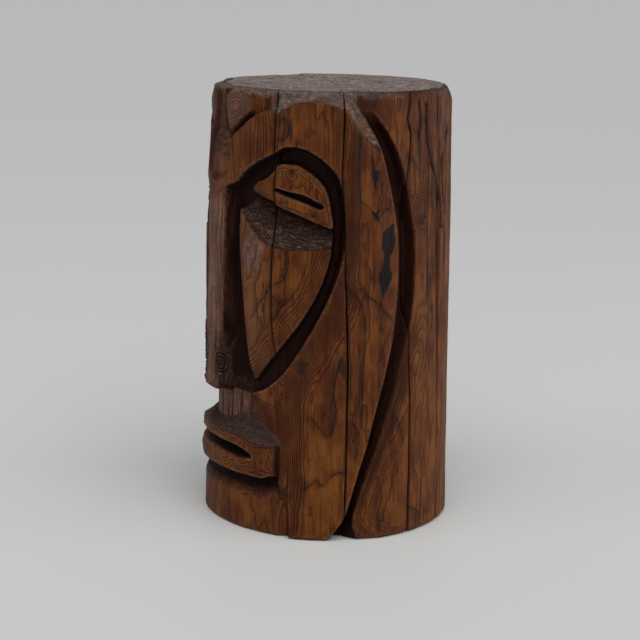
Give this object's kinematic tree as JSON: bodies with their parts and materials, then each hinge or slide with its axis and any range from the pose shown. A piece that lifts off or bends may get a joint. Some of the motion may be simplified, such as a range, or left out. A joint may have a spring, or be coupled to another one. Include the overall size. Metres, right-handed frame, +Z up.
{
  "type": "tiki figure",
  "caption": "Upright carved log with a stylised tiki face in relief: hooded eyes, long nose, wide mouth and drying checks. Stands on its base as a stool, pedestal or ornament.",
  "frame": {"origin": "centre of the base, on the floor", "axes": "+Z up along the log; the face looks toward -Y, so the figure's left side is +X"},
  "size_m": [0.3548, 0.3534, 0.61],
  "materials": {
    "stained_wood": "oil-stained softwood with a low sheen, nearly black in the carved grooves and grey on chiselled end grain",
    "heart_wood": "matt end grain, stained",
    "knot_wood": "dark dense branch wood"
  },
  "bodies": {
    "root": {"heart_core": "heart_wood", "front_stave": "stained_wood", "left_eye_stave": "stained_wood", "left_temple_stave": "stained_wood", "left_hair_stave": "stained_wood", "left_back_stave": "stained_wood", "right_back_stave": "stained_wood", "right_hair_stave": "stained_wood", "right_temple_stave": "stained_wood", "right_eye_stave": "stained_wood", "upper_lid_knot": "knot_wood", "lower_lid_knot": "knot_wood", "nostril_knot": "knot_wood"}
  },
  "joints": []
}
